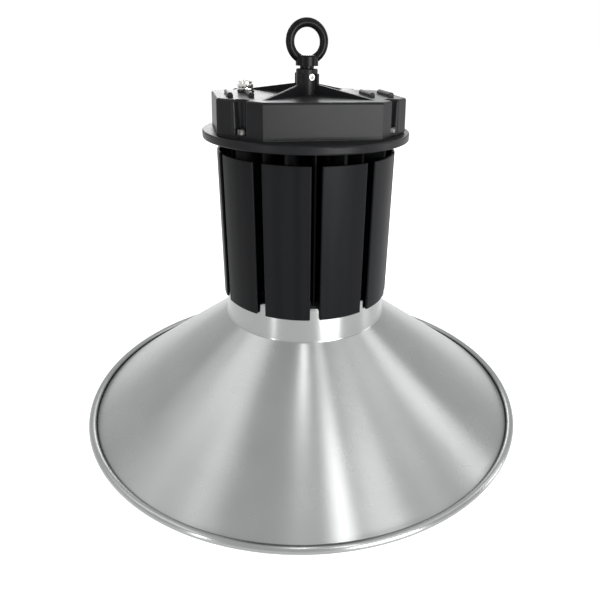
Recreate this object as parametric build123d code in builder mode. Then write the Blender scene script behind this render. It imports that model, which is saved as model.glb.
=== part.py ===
"""Industrial LED high-bay light with a spun reflector.

From the floor up: a spun aluminium shade, the lens ring with its glass and the light
engine inside the shade's collar, a finned extrusion, a round flange, and a cast driver
housing that carries the cable gland and the hanging eye. Lengths are in millimetres.
The origin is the centre of the plane that the rim stands on, +Z up, and the front of
the housing faces -Y.
"""

import os
from math import acos, atan2, cos, degrees, hypot, radians, sin

from build123d import *

os.makedirs("parts", exist_ok=True)

# Clearances shared by all pieces
thread_gap = 0.1
slip_gap = 0.3
cut_margin = 1.0

# Spun shade, one sheet: radii and heights are of its outside
sheet = 1.2
rim_radius = 250.0
rim_bead_diameter = 8.0
curl_stop_angle = 165.0
collar_taper = 2.3
collar_foot_height = 115.0
collar_gap = 1.3
collar_foot_bend = 3.0
collar_top_bend = 2.0
lip_hole_radius = 72.0

# Finned extrusion; its lower face seats on the shade's lip
seat_height = 152.0
fin_height = 153.5
heatsink_radius = 90.0
panel_count = 10
panel_thickness = 3.0
panel_angle = 28.0
first_panel_angle = -77.75
panel_overhang = 10.6
panel_top_relief = 12.0
lower_turning_depth = 0.3
upper_turning_radius = 86.5
web_thickness = 3.0
fin_thickness = 2.0
fin_tip_radius = 78.0
core_radius = 28.0
core_bore_radius = 9.0
port_radius = 5.0
port_circle_radius = 54.0
port_count = 5

# LED mounting plate: a shouldered disc with a spigot above and a pocket below
base_plate_gap = 1.0
base_plate_thickness = 8.5
pocket_radius = 60.0
pocket_depth = 3.5

# Light engine
pad_thickness = 0.4
pad_margin = 0.5
board_gap = 1.75
board_margin = 3.5
board_thickness = 2.0
emitter_size = 3.0
emitter_height = 0.7
emitter_gap = 0.75
first_emitter_circle = 11.0
emitter_circles = 4
emitters_per_step = 6
board_screw_count = 5
board_screw_angle = 14.0

# Glass and the ring that holds it
glass_radius = 66.0
glass_thickness = 4.0
glass_edge = 0.5
seal_wall = 1.5
seal_side = 3.0
seal_grip = 3.0
ring_step = 0.5
ring_lip_thickness = 2.0
ring_lip_radius = 64.0
ring_edge = 0.8
ring_screw_circle_radius = 76.8
ring_screw_count = 6

# Round flange on top of the extrusion
flange_margin = 4.45
flange_thickness = 7.7
flange_edge = 1.5
flange_tap_depth = 6.0
grommet_hole_radius = 6.5
grommet_head_radius = 9.0
grommet_head_thickness = 1.8

# Cast driver housing
housing_half_width = 91.3
housing_half_depth = 76.5
front_flat_half = 54.5
side_flat_half = 37.0
front_corner_round = 13.0
side_corner_round = 3.6
housing_height = 31.5
housing_draft = 2.2
housing_wall = 3.0
top_edge_round = 2.2
groove_radius = 5.5
groove_inset = 4.0
groove_mouth_round = 3.8
foot_thickness = 2.2
seal_thickness = 0.8
seal_inset = 1.0
seal_band = 4.0

# Neck, its four ribs and the cast bars on the roof
neck_radius = 10.5
neck_height = 23.3
neck_edge = 0.8
rib_thickness = 3.0
rib_angle = 48.8
rib_stop = 14.7
rib_shoulder = 3.1
rib_shoulder_height = 19.0
rib_slope_height = 9.6
bar_radius = 2.6
bar_lift = 1.6
bar_length = 36.0
bar_centre_y = -12.0
bar_offsets = (57.8, 77.0)

# Eye bolt and its lock screw
eye_radius = 16.4
eye_wire_radius = 4.1
eye_boss_radius = 10.9
eye_boss_height = 9.4
eye_boss_round = 1.6
eye_collar_radius = 6.8
eye_collar_height = 2.4
eye_shank_radius = 6.0
eye_shank_length = 20.0
eye_hole_spare = 1.0
eye_foot = 0.5
lock_screw_radius = 3.0
lock_screw_angle = -74.9
lock_screw_drop = 7.4
lock_screw_proud = 0.5
hex_key_flats = 3.0
hex_key_depth = 2.5

# Cable gland
gland_x = -57.5
gland_y = 19.0
gland_shank_radius = 6.0
gland_shank_length = 11.0
gland_washer_radius = 8.2
gland_washer_thickness = 2.0
gland_flats = 14.0
gland_hex_height = 2.4
gland_collar_radius = 5.6
gland_collar_height = 4.0
gland_cap_gap = 0.2
gland_cap_radius = 6.9
gland_cap_flats = 15.4
gland_cap_height = 6.7
gland_cap_hex_height = 3.6
gland_cap_dome = 1.6
gland_cap_hole_radius = 4.2
gland_bore_radius = 4.0
cable_radius = 3.5
cable_seal_radius = 4.6
cable_seal_seat = 1.0
gland_nut_flats = 16.0
gland_nut_height = 3.5

# Driver and its wiring inside the housing
driver_left = 27.0
driver_side_gap = 6.0
driver_depth = 76.0
driver_headroom = 3.8
driver_edge = 2.0
driver_lug_length = 8.0
driver_lug_width = 14.0
driver_lug_thickness = 2.5
lead_radius = 2.0
lead_rise = 15.0
lead_bend_radius = 12.0
terminal_x = -50.0
terminal_y = -25.0
terminal_width = 24.0
terminal_depth = 22.0
terminal_height = 15.0
terminal_ways = 3
terminal_pitch = 7.0
terminal_hole_radius = 1.6
terminal_hole_height = 4.5
terminal_well_radius = 2.2
terminal_well_spacing = 13.0
terminal_lug_thickness = 3.0
terminal_lug_length = 7.0
terminal_lug_width = 8.0
input_lead_height = 8.0
input_lead_radius = 2.5
earth_screw_x = -40.0
earth_screw_y = 14.0

# Screws, by nominal radius: head radius and head height
m3_radius, m3_head_radius, m3_head_height = 1.5, 2.75, 1.8
m4_radius, m4_head_radius, m4_head_height = 2.0, 3.8, 2.4
m5_radius, m5_head_radius, m5_head_height = 2.5, 4.25, 5.0
m5_low_head_height = 3.0
m5_countersunk_radius = 5.0
head_edge = 0.4
board_screw_length = 4.5
base_screw_reach = 10.0
ring_screw_reach = 5.5
flange_screw_reach = 12.0
tapped_screw_reach = 5.5
m4_key_flats = 2.5
m5_key_flats = 4.0

# Radii and widths worked out from the sizes above
recess_radius = heatsink_radius - panel_thickness + lower_turning_depth
collar_top_radius = recess_radius - collar_gap
collar_foot_radius = collar_top_radius + collar_taper
base_plate_radius = collar_top_radius - sheet - base_plate_gap
ring_radius = base_plate_radius - ring_step
board_radius = port_circle_radius - m5_head_radius - board_gap
pad_radius = board_radius - pad_margin
board_screw_circle = board_radius - board_margin
last_emitter_circle = board_screw_circle - m3_head_radius - emitter_size / 2 - emitter_gap
emitter_pitch = (last_emitter_circle - first_emitter_circle) / (emitter_circles - 1)
flange_radius = hypot(housing_half_width, side_flat_half) + flange_margin
diagonal_middle_x = (housing_half_width + front_flat_half) / 2
diagonal_middle_y = (housing_half_depth + side_flat_half) / 2
rib_reach = hypot(diagonal_middle_x, diagonal_middle_y) - rib_stop
rib_shoulder_reach = neck_radius + rib_shoulder
driver_width = housing_half_width - housing_wall - driver_side_gap - driver_left

# Levels worked out from the sizes above
plate_top = seat_height - sheet
plate_bottom = plate_top - base_plate_thickness
pocket_floor = plate_bottom + pocket_depth
board_top = pocket_floor - pad_thickness
board_face = board_top - board_thickness
glass_top = plate_bottom - seal_wall
glass_bottom = glass_top - glass_thickness
seal_bottom = glass_bottom - seal_wall
ring_bottom = seal_bottom - ring_lip_thickness
panel_bottom = seat_height - panel_overhang
flange_bottom = seat_height + fin_height
panel_top = flange_bottom - panel_top_relief
flange_top = flange_bottom + flange_thickness
housing_bottom = flange_top + seal_thickness
foot_top = housing_bottom + foot_thickness
roof_top = housing_bottom + housing_height
roof_under = roof_top - housing_wall
neck_top = roof_top + neck_height
driver_height = roof_under - flange_top - driver_headroom
seal_radius = glass_radius + seal_side

# Places that repeat round the axis
panel_pitch = 360.0 / panel_count
web_length = heatsink_radius - panel_thickness / 2 - core_radius / 2
port_places = PolarLocations(port_circle_radius, port_count, first_panel_angle)
ring_screw_places = PolarLocations(ring_screw_circle_radius, ring_screw_count)
board_screw_places = PolarLocations(board_screw_circle, board_screw_count, board_screw_angle)

# The diagonal wall between a front flat and a side flat, and the groove set into it
wall_run = housing_half_width - front_flat_half
wall_rise = housing_half_depth - side_flat_half
wall_normal_angle = degrees(atan2(wall_run, wall_rise))
groove_x = diagonal_middle_x - groove_inset * cos(radians(wall_normal_angle))
groove_y = diagonal_middle_y - groove_inset * sin(radians(wall_normal_angle))
groove_places = [
    Location((groove_x, groove_y, 0), (0, 0, wall_normal_angle)),
    Location((-groove_x, groove_y, 0), (0, 0, 180 - wall_normal_angle)),
    Location((-groove_x, -groove_y, 0), (0, 0, 180 + wall_normal_angle)),
    Location((groove_x, -groove_y, 0), (0, 0, -wall_normal_angle)),
]


def housing_plan(inset: float) -> Sketch:
    """Eight-sided plan of the housing, moved in by inset all round."""
    corners = [
        (housing_half_width, side_flat_half),
        (front_flat_half, housing_half_depth),
        (-front_flat_half, housing_half_depth),
        (-housing_half_width, side_flat_half),
        (-housing_half_width, -side_flat_half),
        (-front_flat_half, -housing_half_depth),
        (front_flat_half, -housing_half_depth),
        (housing_half_width, -side_flat_half),
    ]
    with BuildSketch() as plan:
        with BuildLine():
            Polyline(*corners, close=True)
        make_face()
        side_corners = plan.vertices().filter_by(lambda v: abs(v.X) > front_flat_half + cut_margin)
        front_corners = plan.vertices().filter_by(lambda v: abs(v.Y) > side_flat_half + cut_margin)
        fillet(side_corners, side_corner_round)
        fillet(front_corners, front_corner_round)
        if inset > 0:
            offset(amount=-inset)
    return plan.sketch


def groove_plan(radius: float) -> Sketch:
    """Four round-ended slots that open outwards through the diagonal walls."""
    reach = groove_inset + 2 * radius
    with BuildSketch() as plan:
        with Locations(*groove_places):
            Circle(radius)
            Rectangle(reach, 2 * radius, align=(Align.MIN, Align.CENTER))
    return plan.sketch


def cavity_plan(inset: float) -> Sketch:
    """Inside outline at an inset from the walls, clear of the metal round the grooves."""
    with BuildSketch() as plan:
        add(housing_plan(inset))
        add(groove_plan(groove_radius + housing_wall), mode=Mode.SUBTRACT)
    return plan.sketch


def grooved_plan() -> Sketch:
    """Outside of the housing's walls, with the groove mouths rounded over."""
    mouth_reach = hypot(groove_radius, groove_inset)
    with BuildSketch() as plan:
        add(housing_plan(0))
        add(groove_plan(groove_radius), mode=Mode.SUBTRACT)
        mouths = plan.vertices().filter_by(
            lambda v: abs(hypot(abs(v.X) - groove_x, abs(v.Y) - groove_y) - mouth_reach) < thread_gap
        )
        fillet(mouths, groove_mouth_round)
    return plan.sketch


def screw(plane: Plane, radius: float, length: float, head_radius: float, head_height: float) -> Part:
    """One round-headed screw: head on the plane's normal side, shank behind the plane."""
    with BuildPart() as fastener:
        with BuildSketch(plane):
            Circle(head_radius)
        extrude(amount=head_height)
        rim = fastener.edges().filter_by(GeomType.CIRCLE).sort_by(Axis(plane.origin, plane.z_dir))[-1]
        chamfer(rim, head_edge)
        with BuildSketch(plane):
            Circle(radius)
        extrude(amount=-length)
    return fastener.part


def keyed(fastener: Part, plane: Plane, head_height: float, flats: float, depth: float) -> Part:
    """The same screw with a hexagonal key socket sunk into its head."""
    with BuildPart() as socket:
        add(fastener)
        with BuildSketch(plane.offset(head_height)):
            RegularPolygon(flats / 2, 6, major_radius=False)
        extrude(amount=-depth, mode=Mode.SUBTRACT)
    return socket.part


def save(piece: Part, name: str) -> None:
    """Label a finished piece and write it under its own name."""
    piece.label = name
    export_step(piece, f"parts/{name}.step")


# Reflector: the sheet's centreline from the lip, down the collar and the cone, into the
# rolled rim, traced to the sheet's thickness and revolved
curl_radius = (rim_bead_diameter - sheet) / 2
curl_centre_r = rim_radius - rim_bead_diameter / 2
curl_centre_z = rim_bead_diameter / 2
neck_r = collar_foot_radius - sheet / 2
cone_drop = collar_foot_height - curl_centre_z
cone_run = curl_centre_r - neck_r
cone_reach = hypot(cone_run, cone_drop)
touch_angle = 180.0 - degrees(atan2(cone_drop, cone_run)) + degrees(acos(curl_radius / cone_reach))
touch_point = (
    curl_centre_r + curl_radius * cos(radians(touch_angle)),
    curl_centre_z + curl_radius * sin(radians(touch_angle)),
)
lip_mid_height = seat_height - sheet / 2

with BuildPart() as reflector:
    with BuildSketch(Plane.XZ):
        with BuildLine() as spun_line:
            lip = Line(
                (lip_hole_radius, lip_mid_height),
                (collar_top_radius - sheet / 2 - collar_top_bend, lip_mid_height),
            )
            shoulder = TangentArc(
                lip @ 1,
                (collar_top_radius - sheet / 2, lip_mid_height - collar_top_bend),
                tangent=lip % 1,
            )
            collar_foot = Vector(neck_r, collar_foot_height)
            wall_way = (collar_foot - (shoulder @ 1)).normalized()
            cone_way = (Vector(*touch_point) - collar_foot).normalized()
            half_turn = radians(wall_way.get_angle(cone_way) / 2)
            bend_setback = collar_foot_bend * sin(half_turn) / cos(half_turn)
            collar = Line(shoulder @ 1, collar_foot - wall_way * bend_setback)
            foot = TangentArc(collar @ 1, collar_foot + cone_way * bend_setback, tangent=collar % 1)
            cone = Line(foot @ 1, touch_point)
            CenterArc(
                (curl_centre_r, curl_centre_z),
                curl_radius,
                touch_angle,
                360.0 - touch_angle + curl_stop_angle,
            )
        trace(spun_line.line, sheet)
    revolve(axis=Axis.Z)
save(reflector.part, "reflector")

# Heatsink: one extrusion, bored at the foot to clear the collar and turned at the top
with BuildPart() as heatsink:
    with BuildSketch(Plane.XY.offset(panel_bottom)):
        Circle(core_radius)
        for index in range(panel_count):
            panel_start = first_panel_angle + index * panel_pitch - panel_angle / 2
            bow = CenterArc((0, 0), heatsink_radius - panel_thickness / 2, panel_start, panel_angle)
            SlotArc(bow.edge(), panel_thickness)
        with PolarLocations(core_radius / 2, panel_count, first_panel_angle):
            Rectangle(web_length, web_thickness, align=(Align.MIN, Align.CENTER))
        with PolarLocations(0, panel_count, first_panel_angle + panel_pitch / 2):
            Rectangle(fin_tip_radius, fin_thickness, align=(Align.MIN, Align.CENTER))
        with PolarLocations(fin_tip_radius, panel_count, first_panel_angle + panel_pitch / 2):
            Circle(fin_thickness / 2)
        with port_places:
            Circle(port_radius)
        with port_places:
            Circle(m5_radius + thread_gap, mode=Mode.SUBTRACT)
        Circle(core_bore_radius, mode=Mode.SUBTRACT)
    extrude(amount=flange_bottom - panel_bottom)
    with BuildSketch(Plane.XY.offset(panel_bottom)):
        Circle(heatsink_radius - panel_thickness + lower_turning_depth)
    extrude(amount=panel_overhang, mode=Mode.SUBTRACT)
    with BuildSketch(Plane.XY.offset(panel_top)):
        Circle(heatsink_radius + cut_margin)
        Circle(upper_turning_radius, mode=Mode.SUBTRACT)
    extrude(amount=panel_top_relief, mode=Mode.SUBTRACT)
save(heatsink.part, "heatsink")

# LED mounting plate: its rim clamps the shade's lip, its spigot centres the shade
with BuildPart() as base_plate:
    with BuildSketch(Plane.XY.offset(plate_bottom)):
        Circle(base_plate_radius)
    extrude(amount=base_plate_thickness)
    chamfer(base_plate.edges().sort_by(Axis.Z)[-1], collar_top_bend)
    with BuildSketch(Plane.XY.offset(plate_top)):
        Circle(lip_hole_radius - slip_gap)
    extrude(amount=sheet)
    with BuildSketch(Plane.XY.offset(plate_bottom)):
        Circle(pocket_radius)
    extrude(amount=pocket_depth, mode=Mode.SUBTRACT)
    with BuildSketch(Plane.XY.offset(pocket_floor)):
        Circle(lead_radius + slip_gap)
        with port_places:
            Circle(m5_radius + thread_gap)
    extrude(amount=seat_height - pocket_floor, mode=Mode.SUBTRACT)
    with BuildSketch(Plane.XY.offset(pocket_floor)):
        with board_screw_places:
            Circle(m3_radius + thread_gap)
    extrude(amount=board_screw_length - pad_thickness - board_thickness + cut_margin, mode=Mode.SUBTRACT)
    with BuildSketch(Plane.XY.offset(plate_bottom)):
        with ring_screw_places:
            Circle(m4_radius + thread_gap)
    extrude(amount=ring_screw_reach + cut_margin, mode=Mode.SUBTRACT)
save(base_plate.part, "base_plate")

# Screws that pull the mounting plate, and the lip with it, up to the extrusion
base_screw_plane = Plane(origin=(0, 0, pocket_floor), z_dir=(0, 0, -1))
base_screw_length = seat_height - pocket_floor + base_screw_reach
base_screw = keyed(
    screw(base_screw_plane, m5_radius, base_screw_length, m5_head_radius, m5_low_head_height),
    base_screw_plane,
    m5_low_head_height,
    m5_key_flats,
    m5_low_head_height / 2,
)
with BuildPart() as base_plate_screws:
    with port_places:
        add(base_screw)
save(base_plate_screws.part, "base_plate_screws")

# Heat-conducting pad between the board and the plate
with BuildPart() as thermal_pad:
    with BuildSketch(Plane.XY.offset(board_top)):
        Circle(pad_radius)
        Circle(lead_radius + slip_gap, mode=Mode.SUBTRACT)
        with board_screw_places:
            Circle(m3_radius + slip_gap, mode=Mode.SUBTRACT)
    extrude(amount=pad_thickness)
save(thermal_pad.part, "thermal_pad")

# Metal-core board; the lead comes through its centre
with BuildPart() as led_board:
    with BuildSketch(Plane.XY.offset(board_face)):
        Circle(board_radius)
        Circle(lead_radius + slip_gap, mode=Mode.SUBTRACT)
        with board_screw_places:
            Circle(m3_radius + thread_gap, mode=Mode.SUBTRACT)
    extrude(amount=board_thickness)
save(led_board.part, "led_board")

# Emitters in concentric rings on the lower face of the board
with BuildPart() as led_emitters:
    with BuildSketch(Plane.XY.offset(board_face)):
        for step in range(emitter_circles):
            with PolarLocations(first_emitter_circle + step * emitter_pitch, emitters_per_step * (step + 1)):
                Rectangle(emitter_size, emitter_size)
    extrude(amount=-emitter_height)
save(led_emitters.part, "led_emitters")

# Screws that hold the board down to the plate
board_screw_plane = Plane(origin=(0, 0, board_face), z_dir=(0, 0, -1))
board_screw = screw(board_screw_plane, m3_radius, board_screw_length, m3_head_radius, m3_head_height)
with BuildPart() as board_screws:
    with board_screw_places:
        add(board_screw)
save(board_screws.part, "board_screws")

# Tempered glass disc
with BuildPart() as glass_lens:
    with BuildSketch(Plane.XY.offset(glass_bottom)):
        Circle(glass_radius)
    extrude(amount=glass_thickness)
    chamfer(glass_lens.edges(), glass_edge)
save(glass_lens.part, "glass_lens")

# Channel-shaped silicone seal gripping the glass edge
with BuildPart() as lens_seal:
    with BuildSketch(Plane.XZ):
        with BuildLine():
            Polyline(
                (glass_radius - seal_grip, seal_bottom),
                (seal_radius, seal_bottom),
                (seal_radius, plate_bottom),
                (glass_radius - seal_grip, plate_bottom),
                (glass_radius - seal_grip, glass_top),
                (glass_radius, glass_top),
                (glass_radius, glass_bottom),
                (glass_radius - seal_grip, glass_bottom),
                close=True,
            )
        make_face()
    revolve(axis=Axis.Z)
save(lens_seal.part, "lens_seal")

# Ring that clamps the sealed glass against the mounting plate
with BuildPart() as lens_ring:
    with BuildSketch(Plane.XY.offset(ring_bottom)):
        Circle(ring_radius)
        Circle(ring_lip_radius, mode=Mode.SUBTRACT)
    extrude(amount=plate_bottom - ring_bottom)
    with BuildSketch(Plane.XY.offset(seal_bottom)):
        Circle(seal_radius + thread_gap)
    extrude(amount=plate_bottom - seal_bottom, mode=Mode.SUBTRACT)
    chamfer(lens_ring.faces().sort_by(Axis.Z)[0].edges(), ring_edge)
    with BuildSketch(Plane.XY.offset(ring_bottom)):
        with ring_screw_places:
            Circle(m4_radius + thread_gap)
    extrude(amount=plate_bottom - ring_bottom, mode=Mode.SUBTRACT)
save(lens_ring.part, "lens_ring")

# Lens ring screws, heads downwards
ring_screw_plane = Plane(origin=(0, 0, ring_bottom), z_dir=(0, 0, -1))
ring_screw_length = plate_bottom - ring_bottom + ring_screw_reach
ring_screw = keyed(
    screw(ring_screw_plane, m4_radius, ring_screw_length, m4_head_radius, m4_head_height),
    ring_screw_plane,
    m4_head_height,
    m4_key_flats,
    m4_head_height / 2,
)
with BuildPart() as lens_ring_screws:
    with ring_screw_places:
        add(ring_screw)
save(lens_ring_screws.part, "lens_ring_screws")

# Inner parts that the flange is drilled for
driver_x = driver_left + driver_width / 2
driver_lug_y = driver_depth / 2 + driver_lug_length / 2
driver_screw_places = Locations((driver_x, driver_lug_y), (driver_x, -driver_lug_y))
terminal_lug_y = (terminal_depth + terminal_lug_length) / 2
terminal_screw_places = Locations(
    (terminal_x, terminal_y + terminal_lug_y),
    (terminal_x, terminal_y - terminal_lug_y),
)
housing_screw_places = Locations(*groove_places)

# Flange: the round plate between the extrusion and the housing
with BuildPart() as mounting_flange:
    with BuildSketch(Plane.XY.offset(flange_bottom)):
        Circle(flange_radius)
    extrude(amount=flange_thickness)
    fillet(mounting_flange.edges(), flange_edge)
    with BuildSketch(Plane.XY.offset(flange_bottom)):
        Circle(grommet_hole_radius)
        with port_places:
            Circle(m5_radius + thread_gap)
    extrude(amount=flange_thickness, mode=Mode.SUBTRACT)
    with port_places:
        with Locations((0, 0, flange_top)):
            Cone(
                m5_radius + thread_gap,
                m5_countersunk_radius,
                m5_countersunk_radius - m5_radius - thread_gap,
                align=(Align.CENTER, Align.CENTER, Align.MAX),
                mode=Mode.SUBTRACT,
            )
    with BuildSketch(Plane.XY.offset(flange_top)):
        with housing_screw_places:
            Circle(m5_radius + thread_gap)
        with driver_screw_places:
            Circle(m4_radius + thread_gap)
        with terminal_screw_places:
            Circle(m3_radius + thread_gap)
        with Locations((earth_screw_x, earth_screw_y)):
            Circle(m4_radius + thread_gap)
    extrude(amount=-flange_tap_depth, mode=Mode.SUBTRACT)
save(mounting_flange.part, "mounting_flange")

# Countersunk screws from the flange into the extrusion's ports
countersink_depth = m5_countersunk_radius - m5_radius - thread_gap
with BuildPart() as flange_screw:
    with BuildSketch(Plane.XY.offset(flange_top)):
        Circle(m5_radius)
    extrude(amount=-flange_thickness - flange_screw_reach)
    with Locations((0, 0, flange_top)):
        Cone(
            m5_radius,
            m5_countersunk_radius - thread_gap,
            countersink_depth,
            align=(Align.CENTER, Align.CENTER, Align.MAX),
        )
    with BuildSketch(Plane.XY.offset(flange_top)):
        RegularPolygon(hex_key_flats / 2, 6, major_radius=False)
    extrude(amount=-countersink_depth, mode=Mode.SUBTRACT)
with BuildPart() as flange_screws:
    with port_places:
        add(flange_screw.part)
save(flange_screws.part, "flange_screws")

# Rubber grommet where the LED lead passes through the flange
with BuildPart() as cable_grommet:
    with BuildSketch(Plane.XY.offset(flange_bottom)):
        Circle(grommet_hole_radius - thread_gap)
    extrude(amount=flange_thickness)
    with BuildSketch(Plane.XY.offset(flange_top)):
        Circle(grommet_head_radius)
    extrude(amount=grommet_head_thickness)
    with BuildSketch(Plane.XY.offset(flange_bottom)):
        Circle(lead_radius + thread_gap)
    extrude(amount=flange_thickness + grommet_head_thickness, mode=Mode.SUBTRACT)
save(cable_grommet.part, "cable_grommet")

# LED lead: up through the core and the grommet, then over into the driver
lead_height = flange_top + lead_rise
with BuildPart() as led_lead:
    with BuildLine() as lead_way:
        FilletPolyline(
            (0, 0, board_face),
            (0, 0, lead_height),
            (driver_left, 0, lead_height),
            radius=lead_bend_radius,
        )
    with BuildSketch(Plane.XY.offset(board_face)):
        Circle(lead_radius)
    sweep(path=lead_way.line)
save(led_lead.part, "led_lead")

# Flat seal under the housing's rim, notched round the housing screws
with BuildPart() as housing_seal:
    with BuildSketch(Plane.XY.offset(flange_top)):
        add(housing_plan(seal_inset))
        add(cavity_plan(seal_inset + seal_band), mode=Mode.SUBTRACT)
        add(groove_plan(m5_radius + seal_inset), mode=Mode.SUBTRACT)
    extrude(amount=seal_thickness)
save(housing_seal.part, "housing_seal")

# Driver housing: a cast cover with grooved corners, a ribbed neck and bars on its roof
lock_screw_height = neck_top - lock_screw_drop
lock_screw_way = (cos(radians(lock_screw_angle)), sin(radians(lock_screw_angle)), 0)
lock_screw_axis = Plane(origin=(0, 0, lock_screw_height), x_dir=(0, 0, 1), z_dir=lock_screw_way)
rib_root = -housing_wall / 2
rib_start = eye_shank_radius + thread_gap + cut_margin

with BuildPart() as driver_housing:
    with BuildSketch(Plane.XY.offset(housing_bottom)):
        add(grooved_plan())
    extrude(amount=housing_height, taper=housing_draft)
    roof_rim = driver_housing.faces().sort_by(Axis.Z)[-1].outer_wire().edges()
    fillet(roof_rim, top_edge_round)
    with BuildSketch(Plane.XY.offset(housing_bottom)):
        add(housing_plan(0))
    extrude(amount=foot_thickness)
    with BuildSketch(Plane.XY.offset(housing_bottom)):
        add(cavity_plan(housing_wall))
    extrude(amount=housing_height - housing_wall, taper=housing_draft, mode=Mode.SUBTRACT)
    with BuildSketch(Plane.XY.offset(housing_bottom)):
        with housing_screw_places:
            Circle(m5_radius + thread_gap)
    extrude(amount=foot_thickness, mode=Mode.SUBTRACT)
    with BuildSketch(Plane.XY.offset(roof_under)):
        Circle(neck_radius)
    extrude(amount=housing_wall + neck_height)
    chamfer(driver_housing.faces().sort_by(Axis.Z)[-1].edges(), neck_edge)
    for side in (rib_angle, 180 - rib_angle, 180 + rib_angle, -rib_angle):
        upright = Plane(
            origin=(0, 0, roof_top),
            x_dir=(cos(radians(side)), sin(radians(side)), 0),
            z_dir=(sin(radians(side)), -cos(radians(side)), 0),
        )
        with BuildSketch(upright):
            with BuildLine():
                Polyline(
                    (rib_start, rib_root),
                    (rib_reach, rib_root),
                    (rib_reach, 0),
                    (rib_shoulder_reach, rib_slope_height),
                    (rib_shoulder_reach, rib_shoulder_height),
                    (rib_start, rib_shoulder_height),
                    close=True,
                )
            make_face()
        extrude(amount=rib_thickness / 2, both=True)
    for bar_x in (-bar_offsets[1], -bar_offsets[0], bar_offsets[0], bar_offsets[1]):
        with BuildSketch(Plane(origin=(bar_x, bar_centre_y, roof_top), x_dir=(1, 0, 0), z_dir=(0, -1, 0))):
            with Locations((0, bar_lift)):
                Circle(bar_radius)
                Rectangle(2 * bar_radius, bar_lift + housing_wall / 2, align=(Align.CENTER, Align.MAX))
        extrude(amount=bar_length / 2, both=True)
    with BuildSketch(Plane.XY.offset(neck_top)):
        Circle(eye_shank_radius + thread_gap)
    extrude(amount=-eye_shank_length - eye_hole_spare, mode=Mode.SUBTRACT)
    with BuildSketch(lock_screw_axis):
        Circle(lock_screw_radius + thread_gap)
    extrude(amount=rib_shoulder_reach, mode=Mode.SUBTRACT)
    with BuildSketch(Plane.XY.offset(roof_top)):
        with Locations((gland_x, gland_y)):
            Circle(gland_shank_radius + thread_gap)
    extrude(amount=-housing_wall, mode=Mode.SUBTRACT)
save(driver_housing.part, "driver_housing")

# Socket-head screws standing in the grooves
housing_screw_plane = Plane.XY.offset(foot_top)
housing_screw = keyed(
    screw(
        housing_screw_plane,
        m5_radius,
        foot_thickness + seal_thickness + tapped_screw_reach,
        m5_head_radius,
        m5_head_height,
    ),
    housing_screw_plane,
    m5_head_height,
    m5_key_flats,
    m5_head_height / 2,
)
with BuildPart() as housing_screws:
    with housing_screw_places:
        add(housing_screw)
save(housing_screws.part, "housing_screws")

# Eye bolt: ring, boss, seating collar and shank in one forging
eye_boss_bottom = neck_top + eye_collar_height
eye_centre_height = eye_boss_bottom + eye_foot + eye_wire_radius + eye_radius
with BuildPart() as eye_bolt:
    with BuildSketch(Plane.XY.offset(eye_boss_bottom)):
        Circle(eye_boss_radius)
    extrude(amount=eye_boss_height)
    fillet(eye_bolt.edges().sort_by(Axis.Z)[-1], eye_boss_round)
    with BuildSketch(Plane.XY.offset(neck_top)):
        Circle(eye_collar_radius)
    extrude(amount=eye_collar_height)
    with BuildSketch(Plane.XY.offset(neck_top)):
        Circle(eye_shank_radius)
    extrude(amount=-eye_shank_length)
    with Locations(Location((0, 0, eye_centre_height), (90, 0, 0))):
        Torus(eye_radius, eye_wire_radius)
save(eye_bolt.part, "eye_bolt")

# Set screw that locks the eye bolt in the neck
lock_screw_length = neck_radius + lock_screw_proud - eye_shank_radius
with BuildPart() as eye_lock_screw:
    with BuildSketch(lock_screw_axis.offset(eye_shank_radius)):
        Circle(lock_screw_radius)
    extrude(amount=lock_screw_length)
    with BuildSketch(lock_screw_axis.offset(neck_radius + lock_screw_proud)):
        RegularPolygon(hex_key_flats / 2, 6, major_radius=False)
    extrude(amount=-hex_key_depth, mode=Mode.SUBTRACT)
save(eye_lock_screw.part, "eye_lock_screw")

# Cable gland, from the roof upwards: washer, body, seal and cap; locknut below the roof
gland_axis = Plane(origin=(gland_x, gland_y, roof_top))
gland_hex_top = gland_washer_thickness + gland_hex_height
cap_foot = gland_hex_top + gland_cap_gap
cap_top = cap_foot + gland_cap_height
cap_inside_top = cap_top - gland_cap_dome
cable_seal_foot = gland_hex_top - cable_seal_seat

with BuildPart() as gland_washer:
    with BuildSketch(gland_axis):
        Circle(gland_washer_radius)
        Circle(gland_shank_radius + thread_gap, mode=Mode.SUBTRACT)
    extrude(amount=gland_washer_thickness)
save(gland_washer.part, "gland_washer")

with BuildPart() as gland_body:
    with BuildSketch(gland_axis.offset(gland_washer_thickness)):
        RegularPolygon(gland_flats / 2, 6, major_radius=False)
    extrude(amount=gland_hex_height)
    with BuildSketch(gland_axis.offset(gland_hex_top)):
        Circle(gland_collar_radius)
    extrude(amount=gland_collar_height)
    with BuildSketch(gland_axis.offset(gland_washer_thickness)):
        Circle(gland_shank_radius)
    extrude(amount=-gland_shank_length)
    with BuildSketch(gland_axis.offset(gland_washer_thickness - gland_shank_length)):
        Circle(gland_bore_radius)
    extrude(amount=gland_shank_length + gland_hex_height + gland_collar_height, mode=Mode.SUBTRACT)
    with BuildSketch(gland_axis.offset(cable_seal_foot)):
        Circle(cable_seal_radius + thread_gap)
    extrude(amount=cable_seal_seat + gland_collar_height, mode=Mode.SUBTRACT)
save(gland_body.part, "gland_body")

with BuildPart() as gland_seal:
    with BuildSketch(gland_axis.offset(cable_seal_foot)):
        Circle(cable_seal_radius)
        Circle(cable_radius, mode=Mode.SUBTRACT)
    extrude(amount=cap_inside_top - cable_seal_foot)
save(gland_seal.part, "gland_seal")

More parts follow.
